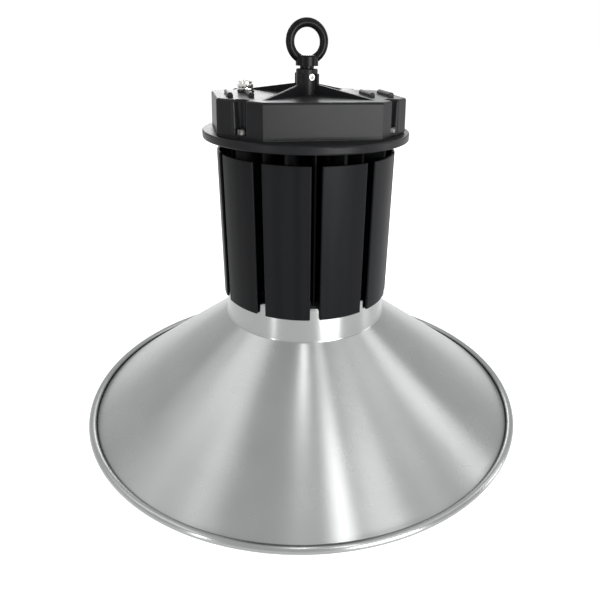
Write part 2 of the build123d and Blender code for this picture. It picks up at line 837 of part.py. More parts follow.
with BuildPart() as gland_cap:
    with BuildSketch(gland_axis.offset(cap_foot)):
        Circle(gland_cap_radius)
    extrude(amount=gland_cap_height)
    fillet(gland_cap.edges().sort_by(Axis.Z)[-1], gland_cap_dome)
    with BuildSketch(gland_axis.offset(cap_foot)):
        RegularPolygon(gland_cap_flats / 2, 6, major_radius=False)
    extrude(amount=gland_cap_hex_height)
    with BuildSketch(gland_axis.offset(cap_foot)):
        Circle(gland_collar_radius + thread_gap)
    extrude(amount=cap_inside_top - cap_foot, mode=Mode.SUBTRACT)
    with BuildSketch(gland_axis.offset(cap_foot)):
        Circle(gland_cap_hole_radius)
    extrude(amount=gland_cap_height, mode=Mode.SUBTRACT)
save(gland_cap.part, "gland_cap")

with BuildPart() as gland_locknut:
    with BuildSketch(Plane(origin=(gland_x, gland_y, roof_under))):
        RegularPolygon(gland_nut_flats / 2, 6, major_radius=False)
        Circle(gland_shank_radius + thread_gap, mode=Mode.SUBTRACT)
    extrude(amount=-gland_nut_height)
save(gland_locknut.part, "gland_locknut")

# LED driver: a potted case with a fixing lug at each end
with BuildPart() as driver:
    with BuildSketch(Plane.XY.offset(flange_top)):
        with Locations((driver_x, 0)):
            RectangleRounded(driver_width, driver_depth, driver_edge)
    extrude(amount=driver_height)
    fillet(driver.faces().sort_by(Axis.Z)[-1].edges(), driver_edge / 2)
    with BuildSketch(Plane.XY.offset(flange_top)):
        with Locations((driver_x, 0)):
            Rectangle(driver_lug_width, driver_depth + 2 * driver_lug_length)
    extrude(amount=driver_lug_thickness)
    with BuildSketch(Plane.XY.offset(flange_top)):
        with driver_screw_places:
            Circle(m4_radius + thread_gap)
    extrude(amount=driver_lug_thickness, mode=Mode.SUBTRACT)
save(driver.part, "driver")

driver_screw_plane = Plane.XY.offset(flange_top + driver_lug_thickness)
driver_screw = screw(
    driver_screw_plane, m4_radius, driver_lug_thickness + tapped_screw_reach, m4_head_radius, m4_head_height
)
with BuildPart() as driver_screws:
    with driver_screw_places:
        add(driver_screw)
save(driver_screws.part, "driver_screws")

# Terminal block below the gland, its wire holes along X
terminal_axis = Plane(origin=(terminal_x, terminal_y, flange_top))
wire_hole_height = flange_top + terminal_hole_height
with BuildPart() as terminal_block:
    with BuildSketch(terminal_axis):
        Rectangle(terminal_width, terminal_depth)
    extrude(amount=terminal_height)
    with BuildSketch(terminal_axis):
        Rectangle(terminal_lug_width, terminal_depth + 2 * terminal_lug_length)
    extrude(amount=terminal_lug_thickness)
    with BuildSketch(terminal_axis.offset(terminal_height)):
        with GridLocations(terminal_well_spacing, terminal_pitch, 2, terminal_ways):
            Circle(terminal_well_radius)
    extrude(amount=terminal_hole_height - terminal_height, mode=Mode.SUBTRACT)
    with BuildSketch(Plane(origin=(terminal_x, terminal_y, wire_hole_height), z_dir=(1, 0, 0))):
        with GridLocations(terminal_pitch, terminal_pitch, terminal_ways, 1):
            Circle(terminal_hole_radius)
    extrude(amount=terminal_width / 2, both=True, mode=Mode.SUBTRACT)
    with BuildSketch(Plane.XY.offset(flange_top)):
        with terminal_screw_places:
            Circle(m3_radius + thread_gap)
    extrude(amount=terminal_lug_thickness, mode=Mode.SUBTRACT)
save(terminal_block.part, "terminal_block")

terminal_screw_plane = Plane.XY.offset(flange_top + terminal_lug_thickness)
terminal_screw_length = terminal_lug_thickness + tapped_screw_reach
terminal_screw = screw(
    terminal_screw_plane, m3_radius, terminal_screw_length, m3_head_radius, m3_head_height
)
with BuildPart() as terminal_screws:
    with terminal_screw_places:
        add(terminal_screw)
save(terminal_screws.part, "terminal_screws")

# Sheathed lead from the terminal block to the driver
terminal_right = terminal_x + terminal_width / 2
input_lead_start = (terminal_right, terminal_y, flange_top + input_lead_height)
with BuildPart() as driver_input_lead:
    with BuildSketch(Plane(origin=input_lead_start, z_dir=(1, 0, 0))):
        Circle(input_lead_radius)
    extrude(amount=driver_left - terminal_right)
save(driver_input_lead.part, "driver_input_lead")

# Earthing screw on the flange
with BuildPart() as earth_screw:
    with Locations((earth_screw_x, earth_screw_y)):
        add(screw(Plane.XY.offset(flange_top), m4_radius, tapped_screw_reach, m4_head_radius, m4_head_height))
save(earth_screw.part, "earth_screw")
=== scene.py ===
"""Looks of an industrial LED high-bay light, laid out as a Blender add-on.

Each operator dresses one piece, or one group of like pieces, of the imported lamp, and
the last one sets the floor, the lights and the camera. Lengths are in metres.
"""

import math

import bmesh
import bpy
from bpy.props import FloatProperty, FloatVectorProperty, IntProperty, PointerProperty
from mathutils import Matrix, Vector


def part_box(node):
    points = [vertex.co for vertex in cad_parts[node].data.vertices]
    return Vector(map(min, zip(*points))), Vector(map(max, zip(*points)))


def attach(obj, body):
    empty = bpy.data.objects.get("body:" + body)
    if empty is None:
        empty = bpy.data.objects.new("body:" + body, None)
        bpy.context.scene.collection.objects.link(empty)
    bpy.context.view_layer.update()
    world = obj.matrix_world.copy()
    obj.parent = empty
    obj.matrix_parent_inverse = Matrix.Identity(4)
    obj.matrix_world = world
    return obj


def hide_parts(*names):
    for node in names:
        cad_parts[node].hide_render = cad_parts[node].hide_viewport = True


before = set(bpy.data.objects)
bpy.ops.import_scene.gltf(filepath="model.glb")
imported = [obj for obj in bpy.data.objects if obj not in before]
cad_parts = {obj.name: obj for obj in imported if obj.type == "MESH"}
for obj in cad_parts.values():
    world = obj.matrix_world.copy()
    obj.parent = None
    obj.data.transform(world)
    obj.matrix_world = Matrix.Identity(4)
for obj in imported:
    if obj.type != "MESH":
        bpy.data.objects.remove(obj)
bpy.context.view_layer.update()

bl_info = {
    "name": "High Bay Light",
    "version": (1, 0, 0),
    "blender": (4, 5, 0),
    "location": "View3D > Sidebar > High Bay",
    "description": "Dresses a packed high-bay light and sets it on a pale studio floor",
    "category": "Object",
}

MM = 0.001
WHITE = (1.0, 1.0, 1.0, 1.0)

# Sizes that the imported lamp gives.
SHADE_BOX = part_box("reflector")
SHADE_RADIUS = min(SHADE_BOX[1].x, SHADE_BOX[1].y, -SHADE_BOX[0].x, -SHADE_BOX[0].y)
SHADE_TOP = SHADE_BOX[1].z

# How finely the made pieces are cut.
BEND_STEPS = 6
CURL_STEPS = 36
DOME_STEPS = 8
MERGE_DISTANCE = 1e-6
SHARP_ANGLE = math.radians(35.0)

# Sides of a row's ring, and what a row leaves out that gives a radius and a height only.
ROUND = 0.0
FEWEST_SIDES = 3.0
SQUARE = 4.0
HEXAGON = 6.0
NO_LIMIT = 1.0
PLAIN_ROW = (ROUND, NO_LIMIT, 0.0)

# Small chamfers of the screws and the gland, and the slope of a drilled floor.
HEAD_EDGE = 0.35 * MM
SOCKET_RIM = 0.15 * MM
HEXAGON_EASE = 0.05 * MM
HOLE_EDGE = 0.2 * MM
DRILL_POINT = 0.3

# How far each screw and gland piece came to be turned, in radians.
HOUSING_SCREW_TURNS = [0.3, 1.1, 0.8, 0.1]
LENS_SCREW_TURNS = [0.2, 0.9, 0.5, 0.0, 0.7, 0.4]
CAP_TURN = 0.35
BODY_TURN = 0.1

EMITTER_RINGS = 4
EMITTERS_MORE_PER_RING = 6

# Sizes of the patterns in the finishes.
HANDLING_CLOUD = 0.05
DIE_LINE = 0.0009
DIE_BAND = 0.011
# Width over which the painted shade and the dullness between the fins fade in.
SHADE_AND_DULL_STEP = 1.5 * MM
COAT_SWELL = 0.02
TURNED_LINE = 0.0005
TURNED_CLOUD = 0.01
PLATED_GRAIN = 0.0004
PLATED_CLOUD = 0.004
MOULD_GRAIN = 0.0007
MOULD_CLOUD = 0.008
EMITTER_GRAIN = 0.0003
GLASS_MARKS = 0.02
FLOOR_MOTTLE = 0.4

# How the patterns are mixed, drawn out along the extrusion and turned on the shade.
FINE_SHARE = 0.4
DRAWN_OUT = 0.01
QUARTER_TURN = 0.25

# Gloss and roughness of the small pieces and the floor.
EMITTER_ROUGHNESS = 0.35
MOULD_GLOSS = 0.4
GLASS_IOR = 1.5
GLASS_ROUGHNESS = (0.01, 0.05)
FLOOR_ROUGHNESS = 0.9

# Radii that round the edges of the small pieces, and the samples that find an edge.
METAL_EASE = 0.0003
MOULD_EASE = 0.0002
EMITTER_EASE = 0.0001
BEVEL_SAMPLES = 4

# The soft lights: name, place, the point that it faces, width and height, and watts.
SHADE_MIDDLE = (0.0, 0.0, 0.06)
HOUSING = (0.0, 0.0, 0.33)
ROOF = (0.0, 0.0, 0.34)
SOFT_LIGHTS = (
    ("back_softbox", (0.45, 1.9, 0.85), ROOF, (1.6, 0.5), 4.0),
    ("back_spot", (0.20, 1.9, 0.56), ROOF, (0.80, 0.4), 4.2),
    ("left_softbox", (-1.20, 0.10, 1.62), SHADE_MIDDLE, (1.10, 0.5), 3.0),
    ("far_left_softbox", (-1.50, 0.50, 1.30), SHADE_MIDDLE, (1.10, 0.6), 1.6),
    ("left_strip", (-1.60, -1.16, 0.30), ROOF, (0.12, 1.0), 7.0),
    ("right_softbox", (1.64, 0.02, 1.16), SHADE_MIDDLE, (0.50, 0.6), 2.1),
    ("high_right_softbox", (1.24, -0.30, 1.60), SHADE_MIDDLE, (0.90, 0.8), 2.0),
    ("low_right_softbox", (1.95, -0.35, 0.10), ROOF, (0.5, 0.5), 7.0),
    ("top_spot", (-0.09, -0.33, 1.96), SHADE_MIDDLE, (0.15, 0.4), 2.4),
    ("top_strip", (0.25, -1.15, 1.68), SHADE_MIDDLE, (0.24, 0.5), 2.9),
    ("top_right_softbox", (0.76, -1.00, 1.58), SHADE_MIDDLE, (0.50, 0.4), 1.3),
    ("front_softbox", (0.76, -1.92, 0.27), HOUSING, (1.0, 0.7), 48.0),
)
FLOOR_REACH = 30.0


class Term:
    """A number, vector or colour in a node tree. Arithmetic on a number adds Math nodes."""

    def __init__(self, weave, socket):
        self.weave = weave
        self.socket = socket

    def math(self, operation, *values):
        inputs = dict(enumerate(values))
        return self.weave.node("ShaderNodeMath", {"operation": operation}, inputs)[0]

    def __add__(self, other):
        return self.math("ADD", self, other)

    def __radd__(self, other):
        return self.math("ADD", other, self)

    def __sub__(self, other):
        return self.math("SUBTRACT", self, other)

    def __rsub__(self, other):
        return self.math("SUBTRACT", other, self)

    def __mul__(self, other):
        return self.math("MULTIPLY", self, other)

    def __rmul__(self, other):
        return self.math("MULTIPLY", other, self)

    def __truediv__(self, other):
        return self.math("DIVIDE", self, other)

    def __rtruediv__(self, other):
        return self.math("DIVIDE", other, self)

    def __pow__(self, other):
        return self.math("POWER", self, other)

    def sine(self):
        return self.math("SINE", self)

    def cosine(self):
        return self.math("COSINE", self)

    def rounded(self):
        return self.math("ROUND", self)

    def modulo(self, other):
        return self.math("MODULO", self, other)

    def above(self, other):
        return self.math("GREATER_THAN", self, other)

    def at_most(self, other):
        return self.math("MINIMUM", self, other)

    def at_least(self, other):
        return self.math("MAXIMUM", self, other)

    def ramp(self, low, high, start=0.0, end=1.0):
        """This number carried from low..high to start..end, held at both ends."""
        settings = {"clamp": True, "interpolation_type": "SMOOTHSTEP"}
        inputs = {0: self, 1: low, 2: high, 3: start, 4: end}
        return self.weave.node("ShaderNodeMapRange", settings, inputs)[0]

    def stretched(self):
        """Noise stretched over the whole of 0 to 1."""
        return self.ramp(0.3, 0.7)


class Made:
    """A node that was added; its outputs are taken by name or by place."""

    def __init__(self, weave, node):
        self.weave = weave
        self.node = node

    def __getitem__(self, key):
        return Term(self.weave, self.node.outputs[key])


class Weave:
    """Adds nodes to a shader or geometry tree and joins them."""

    def __init__(self, tree):
        self.tree = tree

    def node(self, kind, settings=None, inputs=None):
        made = self.tree.nodes.new(kind)
        for name, value in (settings or {}).items():
            setattr(made, name, value)
        for key, value in (inputs or {}).items():
            self.join(value, made.inputs[key])
        return Made(self, made)

    def join(self, value, socket):
        if isinstance(value, Term):
            self.tree.links.new(value.socket, socket)
        else:
            socket.default_value = value


class Finish(Weave):
    """A material with one Principled shader, built up from named sizes and colours."""

    def __init__(self, name):
        self.material = bpy.data.materials.new(name)
        self.material.use_nodes = True
        super().__init__(self.material.node_tree)
        self.shader = self.tree.nodes["Principled BSDF"]
        self.place = self.node("ShaderNodeTexCoord")["Object"]

    def set(self, **sockets):
        for name, value in sockets.items():
            self.join(value, self.shader.inputs[name.replace("_", " ")])

    def axes(self):
        split = self.node("ShaderNodeSeparateXYZ", inputs={0: self.place})
        return split["X"], split["Y"], split["Z"]

    def point(self, x, y, z):
        return self.node("ShaderNodeCombineXYZ", inputs={0: x, 1: y, 2: z})["Vector"]

    def around(self):
        """Distance from the lamp's axis."""
        x, y, _ = self.axes()
        return (x * x + y * y) ** 0.5

    def noise(self, size, detail=2.0, where=None, roughness=0.5):
        """Soft noise from 0 to 1 with features of that size in metres."""
        vector = self.place if where is None else where
        inputs = {"Vector": vector, "Scale": 1.0 / size, "Detail": detail, "Roughness": roughness}
        return self.node("ShaderNodeTexNoise", inputs=inputs)["Fac"]

    def rings(self, size, detail, roughness):
        """Noise that runs in rings round the lamp's axis."""
        _, _, z = self.axes()
        return self.noise(size, detail, self.point(self.around(), z, 0.0), roughness)

    def tones(self, factor, colour, dark, light):
        """A colour between a darker and a lighter shade of itself."""
        return self.tint(factor, shade(colour, dark), shade(colour, light))

    def tint(self, factor, first, second):
        """A colour between two others."""
        inputs = {0: factor, 6: (*first, 1.0), 7: (*second, 1.0)}
        return self.node("ShaderNodeMix", {"data_type": "RGBA"}, inputs)[2]

    def relief(self, height, depth, strength, edge):
        """A normal from a height map of that depth, over edges that are eased by edge."""
        inputs = {"Height": height, "Distance": depth, "Strength": strength}
        if edge > 0.0:
            bevel = self.node("ShaderNodeBevel", {"samples": BEVEL_SAMPLES}, {"Radius": edge})
            inputs["Normal"] = bevel["Normal"]
        return self.node("ShaderNodeBump", inputs=inputs)["Normal"]


def shade(colour, factor):
    """A colour made lighter or darker."""
    return tuple(min(1.0, channel * factor) for channel in colour)


def varied(value, noise, spread):
    """A value that noise moves up and down by up to half the spread."""
    return value + (noise - 0.5) * spread


def mingled(fine, broad):
    """Fine and broad noise together, stretched over the whole of 0 to 1."""
    return (fine * FINE_SHARE + broad * (1.0 - FINE_SHARE)).stretched()


def rgb(name, description, default):
    limits = {"subtype": "COLOR", "size": 3, "min": 0.0, "max": 1.0}
    return FloatVectorProperty(name=name, description=description, default=default, **limits)


def length(name, description, default):
    limits = {"unit": "LENGTH", "min": 0.0, "precision": 5}
    return FloatProperty(name=name, description=description, default=default, **limits)


def share(name, description, default):
    limits = {"subtype": "FACTOR", "min": 0.0, "max": 1.0}
    return FloatProperty(name=name, description=description, default=default, **limits)


def degrees(name, description, default):
    angle = math.radians(default)
    return FloatProperty(name=name, description=description, default=angle, subtype="ANGLE")


class LampFinishes(bpy.types.PropertyGroup):
    """Colours and surface textures of the lamp's materials."""

    spun_colour: rgb("Spun aluminium", "Colour of the shade", (0.30, 0.307, 0.304))
    spun_roughness: share("Spun roughness", "Roughness of the shade", 0.27)
    spun_anisotropy: share("Spun anisotropy", "Stretch of the shade's highlights", 0.85)
    spin_line: length("Spinning line", "Width of the lines that the spinning tool leaves", 0.0006)
    anodised_colour: rgb("Black anodising", "Colour of the extrusion", (0.0070, 0.0073, 0.0082))
    anodised_roughness: share("Anodised roughness", "Roughness of the extrusion", 0.42)
    anodised_gloss: share("Anodised gloss", "Specular level of the extrusion", 0.06)
    # Within this radius the anodising is rougher and painted darker, as shade between the fins.
    shade_and_dull_radius: length("Inner radius", "Radius within which the anodising is dull", 88.8 * MM)
    inner_roughness: share("Inner roughness", "Roughness that is added inside", 0.35)
    coat_colour: rgb("Powder coat", "Colour of the castings", (0.0080, 0.0082, 0.0090))
    coat_roughness: share("Coat roughness", "Roughness of the castings", 0.36)
    coat_gloss: share("Coat gloss", "Specular level of the castings", 0.10)
    coat_grain: length("Coat grain", "Size of the powder coat's orange peel", 0.0011)
    eye_colour: rgb("Eye bolt coat", "Colour of the hanging eye", (0.0050, 0.0051, 0.0056))
    eye_roughness: share("Eye roughness", "Roughness of the hanging eye", 0.28)
    eye_gloss: share("Eye gloss", "Specular level of the hanging eye", 0.07)
    nickel_colour: rgb("Nickel", "Colour of the cable gland", (0.56, 0.55, 0.52))
    nickel_roughness: share("Nickel roughness", "Roughness of the cable gland", 0.20)
    steel_colour: rgb("Stainless steel", "Colour of the bright screws", (0.60, 0.59, 0.57))
    steel_roughness: share("Steel roughness", "Roughness of the bright screws", 0.24)
    blackened_shade: share("Blackening", "Shade of steel that the black screws have", 0.12)
    blackened_roughness: share("Blackened roughness", "Roughness of the black screws", 0.32)
    turned_colour: rgb("Turned aluminium", "Colour of the turned plate", (0.60, 0.61, 0.62))
    turned_roughness: share("Turned roughness", "Roughness of the turned plate", 0.30)
    ring_shade: share("Ring shade", "Shade of the plate that the lens ring has", 0.97)
    ring_roughness: share("Ring roughness", "Roughness of the lens ring", 0.34)
    case_colour: rgb("Driver case", "Colour of the driver's case", (0.50, 0.51, 0.53))
    case_roughness: share("Case roughness", "Roughness of the driver's case", 0.38)
    emitter_colour: rgb("Emitter body", "Colour of the emitters' bodies", (0.82, 0.82, 0.80))
    phosphor_colour: rgb("Phosphor", "Colour of the emitters' phosphor", (0.86, 0.62, 0.12))
    board_colour: rgb("Solder mask", "Colour of the LED board", (0.84, 0.84, 0.82))
    pad_colour: rgb("Thermal pad", "Colour of the pad under the board", (0.40, 0.41, 0.43))
    rubber_colour: rgb("Rubber", "Colour of the rubber seals", (0.02, 0.02, 0.02))
    silicone_colour: rgb("Silicone", "Colour of the lens seal", (0.70, 0.70, 0.68))
    sheath_colour: rgb("Lead sheath", "Colour of the leads inside", (0.66, 0.64, 0.60))
    terminal_colour: rgb("Terminals", "Colour of the terminal block", (0.74, 0.73, 0.68))
    glass_colour: rgb("Glass", "Colour of the glass lens", (0.96, 0.985, 0.975))
    edge_ease: length("Edge ease", "Radius that rounds the edges of the black pieces", 0.0005)


class LampShapes(bpy.types.PropertyGroup):
    """Sizes of the pieces that are made here."""

    sheet: length("Sheet", "Thickness of the shade's sheet", 1.2 * MM)
    lip_hole: length("Lip hole", "Radius of the hole in the shade's lip", 72.0 * MM)
    collar_top: length("Collar top", "Outside radius at the top of the collar", 86.0 * MM)
    collar_foot: length("Collar foot", "Outside radius at the foot of the collar", 88.3 * MM)
    collar_foot_height: length("Collar foot height", "Where the collar meets the cone", 115.0 * MM)
    shoulder_bend: length("Shoulder bend", "Bend at the top of the collar", 2.0 * MM)
    foot_bend: length("Foot bend", "Bend at the foot of the collar", 3.0 * MM)
    bead: length("Bead", "Outside diameter of the rolled rim", 8.0 * MM)
    curl_stop: degrees("Curl stop", "Where the rolled rim ends inside the shade", 165.0)
    turns: IntProperty(name="Turns", description="Faces round the shade", min=32, default=288)
    m5_thread: length("M5 thread", "Radius of the housing screws' shank", 2.5 * MM)
    m5_head: length("M5 head", "Radius of the housing screws' heads", 4.25 * MM)
    m5_head_height: length("M5 head height", "Height of the housing screws' heads", 5.0 * MM)
    m5_key: length("M5 key", "Flats of the housing screws' sockets", 4.0 * MM)
    knurl_depth: length("Knurl depth", "Depth of the housing screws' knurling", 0.22 * MM)
    m4_thread: length("M4 thread", "Radius of the lens ring screws' shank", 2.0 * MM)
    m4_head: length("M4 head", "Radius of the lens ring screws' heads", 3.8 * MM)
    m4_head_height: length("M4 head height", "Height of the lens ring screws' heads", 2.4 * MM)
    m4_key: length("M4 key", "Flats of the lens ring screws' sockets", 2.5 * MM)
    cap_radius: length("Cap radius", "Radius of the gland cap's round top", 6.9 * MM)
    cap_flats: length("Cap flats", "Width across the flats of the gland cap", 15.4 * MM)
    cap_hex_height: length("Cap hexagon", "Height of the gland cap's hexagon", 3.6 * MM)
    cap_dome: length("Cap dome", "Radius of the gland cap's rounded edge", 1.6 * MM)
    cap_hole: length("Cap hole", "Radius of the cable hole in the gland cap", 4.2 * MM)
    cap_bore: length("Cap bore", "Radius inside the gland cap", 5.7 * MM)
    hex_chamfer: length("Hexagon chamfer", "Chamfers on the gland's hexagons", 0.5 * MM)
    gland_flats: length("Body flats", "Width across the flats of the gland body", 14.0 * MM)
    gland_thread: length("Body shank", "Radius of the gland body's shank", 6.0 * MM)
    gland_shank: length("Body shank length", "Length of the gland body's shank", 11.0 * MM)
    gland_bore: length("Body bore", "Radius of the bore through the gland body", 4.0 * MM)
    gland_collar: length("Body collar", "Radius of the gland body's collar", 5.6 * MM)
    gland_collar_height: length("Body collar height", "Height of the body's collar", 4.0 * MM)
    gland_seat: length("Seal seat", "Radius of the seal's seat in the gland body", 4.7 * MM)
    gland_seat_depth: length("Seat depth", "How far the seal sits in the hexagon", 1.0 * MM)
    emitter: length("Emitter", "Width of one emitter", 3.0 * MM)
    emitter_pitch: length("Emitter pitch", "Distance between the rings of emitters", 9.5 * MM)


class LampStage(bpy.types.PropertyGroup):
    """Floor, lights and camera."""

    floor_colour: rgb("Floor", "Colour of the floor", (0.82, 0.82, 0.82))
    floor_glow: share("Floor glow", "Lifts the seen floor to white", 0.68)
    sky_level: share("Sky", "Even light from all round", 0.5)
    camera_place: FloatVectorProperty(
        name="Camera place",
        description="Where the camera stands",
        subtype="TRANSLATION",
        size=3,
        default=(-0.12067, -0.56702, 0.39831),
    )
    camera_heading: degrees("Heading", "Direction of view, from +Y towards +X", 14.36)
    camera_pitch: degrees("Pitch", "Angle of view below the horizon", 25.51)
    camera_roll: degrees("Roll", "Lean of the lamp's top to the right in the picture", 1.45)
    focal_length: FloatProperty(
        name="Focal length",
        description="Focal length in millimetres",
        subtype="DISTANCE_CAMERA",
        default=33.335,
    )
    sensor_width: FloatProperty(
        name="Sensor width",
        description="Width of the camera's sensor in millimetres",
        subtype="DISTANCE_CAMERA",
        default=36.0,
    )
    sideways_shift: FloatProperty(
        name="Shift",
        description="Sideways shift of the picture, in widths of the picture",
        default=-0.0428,
    )


def arc_points(centre, radius, start, end, steps):
    """Points along an arc in a plane, the angles in radians."""
    return [
        (
            centre[0] + radius * math.cos(start + (end - start) * step / steps),
            centre[1] + radius * math.sin(start + (end - start) * step / steps),
        )
        for step in range(steps + 1)
    ]


def bend_points(before, corner, after, radius):
    """Points along the arc that rounds a corner between two straight runs."""
    corner = Vector(corner)
    first = (Vector(before) - corner).normalized()
    second = (Vector(after) - corner).normalized()
    half = first.angle(second) / 2
    centre = corner + (first + second).normalized() * (radius / math.sin(half))
    start = corner + first * (radius / math.tan(half)) - centre
    end = corner + second * (radius / math.tan(half)) - centre
    turn = start.angle_signed(end)
    begin = math.atan2(start.y, start.x)
    return arc_points(centre, radius, begin, begin - turn, BEND_STEPS)


def shade_outline(sizes, rim_radius, top):
    """Centreline of the shade's sheet, as (radius, height), and half its thickness."""
    half = sizes.sheet / 2
    curl = sizes.bead / 2 - half
    curl_r = rim_radius - sizes.bead / 2
    curl_z = sizes.bead / 2
    lip_z = top - half
    collar = (sizes.collar_top - half, lip_z)
    foot = (sizes.collar_foot - half, sizes.collar_foot_height)
    reach = math.hypot(curl_r - foot[0], foot[1] - curl_z)
    slope = math.atan2(foot[1] - curl_z, curl_r - foot[0])
    touch = math.pi - slope + math.acos(curl / reach)
    rim = (curl_r + curl * math.cos(touch), curl_z + curl * math.sin(touch))
    line = [(sizes.lip_hole, lip_z)]
    line += bend_points(line[0], collar, foot, sizes.shoulder_bend)
    line += bend_points(collar, foot, rim, sizes.foot_bend)
    line += [
        (foot[0] + (rim[0] - foot[0]) * part, foot[1] + (rim[1] - foot[1]) * part)
        for part in (0.25, 0.5, 0.75)
    ]
    line += arc_points((curl_r, curl_z), curl, touch, 2 * math.pi + sizes.curl_stop, CURL_STEPS)
    return line, half


def closed_section(line, half):
    """The two sides of a sheet along a centreline, as one loop."""
    ways = []
    for index in range(len(line)):
        before = Vector(line[max(index - 1, 0)])
        after = Vector(line[min(index + 1, len(line) - 1)])
        ways.append((after - before).normalized())
    left = [(p[0] - w.y * half, p[1] + w.x * half) for p, w in zip(line, ways)]
    right = [(p[0] + w.y * half, p[1] - w.x * half) for p, w in zip(line, ways)]
    return left + right[::-1]


def new_object(name, data):
    made = bpy.data.objects.new(name, data)
    bpy.context.scene.collection.objects.link(made)
    return made


def points_object(name, points, **attributes):
    """A helper object of loose points that carry named numbers."""
    mesh = bpy.data.meshes.new(name)
    mesh.from_pydata(points, [], [])
    for label, values in attributes.items():
        mesh.attributes.new(label, "FLOAT", "POINT").data.foreach_set("value", values)
    return new_object(name, mesh)


TURNED_INPUTS = (
    ("Geometry", "NodeSocketGeometry"),
    ("Points", "NodeSocketInt"),
    ("Turns", "NodeSocketInt"),
    ("Knurls", "NodeSocketInt"),
    ("Flip", "NodeSocketFloat"),
    ("Places", "NodeSocketObject"),
    ("Material", "NodeSocketMaterial"),
)


def turned_tree():
    """Tree that turns a section round its axis and sets a copy of it on every place.

    A point of the section holds its radius in X, the radius that its corners are turned
    down to in Y and its height in Z. The number "sides" makes its ring a polygon, and
    "knurl" is how deep the grooves are cut into it.
    """
    tree = bpy.data.node_groups.new("Turned Piece", "GeometryNodeTree")
    for label, kind in TURNED_INPUTS:
        tree.interface.new_socket(label, in_out="INPUT", socket_type=kind)
    tree.interface.new_socket("Geometry", in_out="OUTPUT", socket_type="NodeSocketGeometry")
    weave = Weave(tree)
    given = weave.node("NodeGroupInput")
    grid = weave.node(
        "GeometryNodeMeshGrid",
        inputs={"Vertices X": given["Turns"] + 1.0, "Vertices Y": given["Points"] + 1.0},
    )
    position = weave.node("GeometryNodeInputPosition")[0]
    where = weave.node("ShaderNodeSeparateXYZ", inputs={0: position})
    row = ((where["Y"] + 0.5) * given["Points"]).rounded().modulo(given["Points"])

    def taken(value, kind):
        settings = {"data_type": kind, "domain": "POINT"}
        inputs = {"Geometry": given["Geometry"], "Value": value, "Index": row}
        return weave.node("GeometryNodeSampleIndex", settings, inputs)[0]

    def number(label):
        return weave.node("GeometryNodeInputNamedAttribute", inputs={"Name": label})["Attribute"]

    angle = (where["X"] + 0.5) * (2 * math.pi)
    point = weave.node("ShaderNodeSeparateXYZ", inputs={0: taken(position, "FLOAT_VECTOR")})
    sides = taken(number("sides"), "FLOAT")
    part = 2 * math.pi / sides.at_least(FEWEST_SIDES)
    past_corner = 0.00001
    from_middle = (angle + past_corner).modulo(part) - part * 0.5
    flat = (point["X"] / from_middle.cosine()).at_most(point["Y"])
    wave = (angle * given["Knurls"]).cosine() * 0.5 + 0.5
    groove = taken(number("knurl"), "FLOAT") * wave
    is_flat = sides.above(FEWEST_SIDES - 0.5)
    radius = flat * is_flat + point["X"] * (1.0 - is_flat) - groove
    ring = {0: radius * angle.cosine(), 1: radius * angle.sine(), 2: point["Z"]}
    turned_point = weave.node("ShaderNodeCombineXYZ", inputs=ring)[0]
    skin = {"Geometry": grid["Mesh"], "Position": turned_point}
    placed = weave.node("GeometryNodeSetPosition", inputs=skin)[0]
    doubles = {"Geometry": placed, "Distance": MERGE_DISTANCE}
    merged = weave.node("GeometryNodeMergeByDistance", inputs=doubles)[0]
    spots = weave.node("GeometryNodeObjectInfo", inputs={"Object": given["Places"]})["Geometry"]
    facing = weave.node("ShaderNodeCombineXYZ", inputs={0: given["Flip"], 2: number("turn")})[0]
    spread = {"Points": spots, "Instance": merged, "Rotation": facing}
    copies = weave.node("GeometryNodeInstanceOnPoints", inputs=spread)[0]
    real = weave.node("GeometryNodeRealizeInstances", inputs={"Geometry": copies})[0]
    paint = {"Geometry": real, "Material": given["Material"]}
    painted = weave.node("GeometryNodeSetMaterial", inputs=paint)[0]
    weave.node("NodeGroupOutput", inputs={"Geometry": painted})
    return tree


def turned(name, rows, places, material, turns, angles=(0.0,), knurls=0, flip=0.0):
    """Runs the turned piece's tree and keeps its result as a plain mesh object.

    A row is (radius, height), then its number of sides, the radius of its corners and
    the depth of its knurl where it has them. Each place has its own angle.
    """
    tree = bpy.data.node_groups.get("Turned Piece") or turned_tree()
    full = [tuple(row) + PLAIN_ROW[len(row) - 2:] for row in rows]
    section = points_object(
        name + "_section",
        [(radius, limit, height) for radius, height, _, limit, _ in full],
        sides=[row[2] for row in full],
        knurl=[row[4] for row in full],
    )
    spots = points_object(name + "_places", places, turn=angles)
    values = {
        "Points": len(full),
        "Turns": turns,
        "Knurls": knurls,
        "Flip": flip,
        "Places": spots,
        "Material": material,
    }
    modifier = section.modifiers.new(tree.name, "NODES")
    modifier.node_group = tree
    for item in tree.interface.items_tree:
        if item.in_out == "INPUT" and item.name in values:
            modifier[item.identifier] = values[item.name]
    evaluated = section.evaluated_get(bpy.context.evaluated_depsgraph_get())
    mesh = bpy.data.meshes.new_from_object(evaluated)
    for helper in (section, spots):
        bpy.data.objects.remove(helper)
    for attribute in [a for a in mesh.attributes if a.name in ("sides", "knurl", "turn")]:
        mesh.attributes.remove(attribute)
    mesh.name = name
    return smooth(outward(new_object(name, mesh)))


def outward(piece):
    """Merges doubles and turns all faces outwards."""
    work = bmesh.new()
    work.from_mesh(piece.data)
    bmesh.ops.remove_doubles(work, verts=work.verts, dist=MERGE_DISTANCE)
    bmesh.ops.recalc_face_normals(work, faces=work.faces)
    work.to_mesh(piece.data)
    work.free()
    return piece


def smooth(piece):
    """Smooth shading that leaves the sharp edges sharp."""
    for face in piece.data.polygons:
        face.use_smooth = True
    piece.data.set_sharp_from_angle(angle=SHARP_ANGLE)
    return piece


def circle_angles(count):
    return [2 * math.pi * step / count for step in range(count)]


def circle_places(radius, angles, height):
    """Places round the lamp's axis."""
    return [(radius * math.cos(angle), radius * math.sin(angle), height) for angle in angles]


